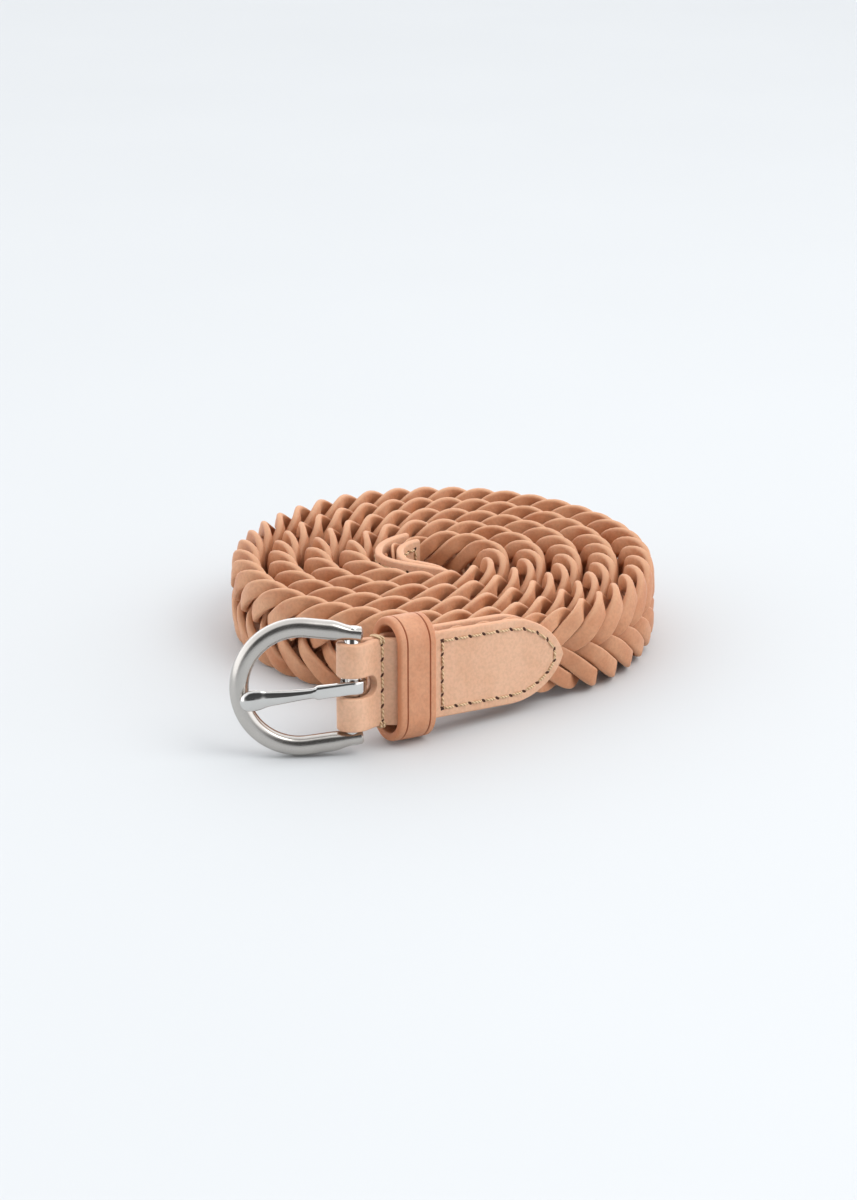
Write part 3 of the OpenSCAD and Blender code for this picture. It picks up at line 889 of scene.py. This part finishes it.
def prong():
    """A strip curled round the bar, then a flat-sided shank that thins to a spoon-shaped tip."""
    strip_w, strip_t = 2.75, 1.25
    eye = FOLD_R + strip_t / 2
    tip_y = -FRAME_D / 2 - 1.15
    rings = []

    def ring(x, y, z, heading, w, t, power):
        section = oval(t, w, power, n=32)
        out = np.array([math.sin(heading), -math.cos(heading), 0])
        rings.append(np.array([x, y, z]) + section[:, 0:1] * out + section[:, 1:2] * [0, 0, -1])

    for i, a in enumerate(np.radians(np.linspace(168, -90, 44))):
        thin_end = 0.3 + 0.7 * min(1, (i + 1) / 5)
        ring(eye * math.cos(a), eye * math.sin(a), 0, a - math.pi / 2, strip_w, strip_t * thin_end, 0.35)
    stations = np.array([
        # distance from the bar, middle y, width, thickness, roundness
        (0.3, -eye, strip_w, strip_t, 0.35),
        (3.5, -eye - 0.02, 2.8, 1.6, 0.40),
        (7.0, -eye - 0.1, 2.9, 1.95, 0.42),
        (7.5, -eye - 0.1, 2.85, 1.9, 0.40),
        (7.9, -eye - 0.25, 2.35, 1.6, 0.70),
        (8.4, -eye - 0.35, 2.15, 1.6, 0.85),
        (10.5, -2.75, 2.35, 1.65, 0.95),
        (13.0, -2.85, 2.65, 1.65, 1.0),
        (15.5, -2.95, 3.0, 1.5, 1.0),
        (17.0, -3.0, 3.15, 1.3, 1.0),
        (18.0, -3.02, 3.5, 1.4, 1.0),
        (19.1, tip_y, 4.15, 1.7, 1.0),
        (20.4, tip_y, 4.5, 1.95, 1.0),
        (21.6, tip_y, 4.25, 1.85, 1.0),
        (22.5, tip_y, 3.35, 1.5, 1.0),
        (23.05, tip_y, 2.0, 1.0, 1.0),
        (PRONG_REACH, tip_y, 0.5, 0.3, 1.0),
    ])
    widest = PRONG_REACH - 2.9
    spread = np.concatenate([
        np.linspace(0.3, 7.2, 14),
        np.linspace(7.35, 8.3, 7),
        np.linspace(8.8, widest - 0.2, 40),
        widest + (PRONG_REACH - widest) * np.sin(np.linspace(0, math.pi / 2, 14)),
    ])
    sag = math.tan(math.radians(PRONG_SAG))
    for x in spread:
        y, w, t, power = (float(np.interp(x, stations[:, 0], stations[:, k])) for k in range(1, 5))
        ring(-x, y, -sag * max(0, x - 0.5), -math.pi, w, t, power)
    piece = skin("prong_tongue", at_frame(np.array(rings)), sharp=50)
    return finish(piece, "prong", "prong_metal", POLISHED_METAL, "prong")


buckle_frame()
buckle_bar()
prong()


# ---------------------------------------------------------------- plain tip
def tip_gap(s):
    """Distance of a tip layer's inner face from the middle: open over the braid, then closed."""
    return LAYER_GAP + (COVER_GAP - LAYER_GAP) * (1 - ease((s - BRAID_END - 0.5) / TIP_OPEN_RUN))


def tip_half(s, inset=0.0):
    """Half height of the tip's outline, or of the stitch row that runs inset from it."""
    t = np.clip((s - (BELT_LEN - TIP_POINT_RUN)) / (TIP_POINT_RUN - inset), 0, 1)
    return (LEATHER_W / 2 - inset) * (1 - t**2) ** 0.4


def tip_layer(name, side, node):
    s = TIP_START + (BELT_LEN - 0.02 - TIP_START) * (1 - (1 - np.linspace(0, 1, 90)) ** 1.8)
    rings, edges = [], []
    for at in s:
        half = float(tip_half(at))
        section, edge = rounded_slab(max(2 * half, 1.3), LEATHER_T, 0.5, steps=4)
        section[:, 0] *= min(1, half / 0.65)
        middle = side * (float(tip_gap(at)) + LEATHER_T / 2)
        rings.append(on_strap(at, middle + section[:, 1], section[:, 0]))
        edges.append(edge)
    piece = skin(name, np.array(rings), sharp=60)
    add_value(piece, "edge", np.concatenate(edges))
    return finish(piece, "belt", "chape_leather", CHAPE_LEATHER, node)


def tip_stitches():
    start, end = TIP_START + 2, BELT_LEN - 2.6
    count = round((end - start) / STITCH_PITCH)
    s = np.linspace(start, end, count + 1)
    threads, hole_shades = [], []
    for side in (1, -1):
        face = side * (tip_gap(s) + LEATHER_T)
        for edge in (1, -1):
            z = edge * tip_half(s, STITCH_INSET)
            places = on_strap(s, face, z)
            outs = on_strap(s, face + side, z) - places
            t, h = stitch_row(places, outs)
            threads += t
            hole_shades += h
        z = np.linspace(-ROW_Z, ROW_Z, 6)
        places = on_strap(start, face[0], z)
        outs = on_strap(start, face[0] + side, z) - places
        t, h = stitch_row(places, outs)
        threads += t
        hole_shades += h
    finish(merge_solids("tip_thread", threads), "belt", "thread", LINEN, "tip_stitching")
    # a lens of painted shade at each awl hole
    finish(merge_solids("tip_holes", hole_shades), "belt", "chape_leather", HOLE_SHADE)


tip_layer("tip_front", 1, "tip_outer")
tip_layer("tip_back", -1, "tip_inner")
tip_stitches()


# ---------------------------------------------------------------- floor, light and camera
def floor():
    size = 6.0
    corners = [(-size, -size, 0), (size, -size, 0), (size, size, 0), (-size, size, 0)]
    mesh = bpy.data.meshes.new("floor")
    mesh.from_pydata(corners, [], [(0, 1, 2, 3)])
    piece = bpy.data.objects.new("floor", mesh)
    bpy.context.scene.collection.objects.link(piece)
    m = Nodes("pale_floor")
    tone = m.ramp(m.noise(6, detail=2), (0.3, (0.618, 0.640, 0.655, 1)), (0.7, (0.628, 0.650, 0.665, 1)))
    m.link(tone, m.shader.inputs["Base Color"])
    m.set(Roughness=0.8, Specular_IOR_Level=0.2)
    piece.data.materials.append(m.material)


def area_light(name, at, toward, size, power, colour):
    data = bpy.data.lights.new(name, "AREA")
    data.shape = "DISK"
    data.size = size
    data.energy = power
    data.color = colour
    lamp = bpy.data.objects.new(name, data)
    bpy.context.scene.collection.objects.link(lamp)
    lamp.location = at
    lamp.rotation_euler = (Vector(toward) - Vector(at)).to_track_quat("-Z", "Y").to_euler()


def studio():
    """Soft light from the upper right, and a sky with a darker patch behind the camera."""
    area_light("key", (0.62, -0.30, 0.95), (0, 0, 0), 0.75, 4.0, (1.0, 0.99, 0.975))
    world = bpy.data.worlds.new("studio")
    bpy.context.scene.world = world
    world.use_nodes = True
    tree = world.node_tree
    sky = tree.nodes["Background"]
    sky.inputs["Color"].default_value = (0.98, 0.985, 1.0, 1)
    direction = tree.nodes.new("ShaderNodeTexCoord").outputs["Generated"]

    def level(toward, low, high, out_low, out_high):
        """A level that changes with the angle between a ray of light and one direction."""
        facing = tree.nodes.new("ShaderNodeVectorMath")
        facing.operation = "DOT_PRODUCT"
        facing.inputs[1].default_value = toward
        tree.links.new(direction, facing.inputs[0])
        ramp = tree.nodes.new("ShaderNodeMapRange")
        ramp.interpolation_type = "SMOOTHSTEP"
        for key, value in zip(MAP_RANGE, (low, high, out_low, out_high)):
            ramp.inputs[key].default_value = value
        tree.links.new(facing.outputs["Value"], ramp.inputs["Value"])
        return ramp.outputs["Result"]

    horizon_to_zenith = level((0.0, 0.0, 1.0), 0.15, 0.95, 1.95, 1.22)
    patch_behind_camera = level((0.0, -0.90, 0.43), 0.72, 0.93, 1.0, 0.05)
    both = tree.nodes.new("ShaderNodeMath")
    both.operation = "MULTIPLY"
    tree.links.new(horizon_to_zenith, both.inputs[0])
    tree.links.new(patch_behind_camera, both.inputs[1])
    tree.links.new(both.outputs["Value"], sky.inputs["Strength"])


def camera():
    """The camera looks down at 20.5 degrees from 0.6 m in front."""
    elevation = math.radians(20.5)
    distance = 0.600
    target = Vector((-0.00113, 0.0, 0.00724))
    back = Vector((0, -math.cos(elevation), math.sin(elevation)))
    data = bpy.data.cameras.new("camera")
    data.sensor_width = 36.0
    data.lens = 77.2
    data.clip_start = 0.01
    data.clip_end = 20.0
    eye = bpy.data.objects.new("camera", data)
    bpy.context.scene.collection.objects.link(eye)
    eye.location = target + back * distance
    eye.rotation_euler = (-back).to_track_quat("-Z", "Y").to_euler()
    bpy.context.scene.camera = eye


floor()
studio()
camera()
bpy.context.scene.view_settings.view_transform = "Standard"
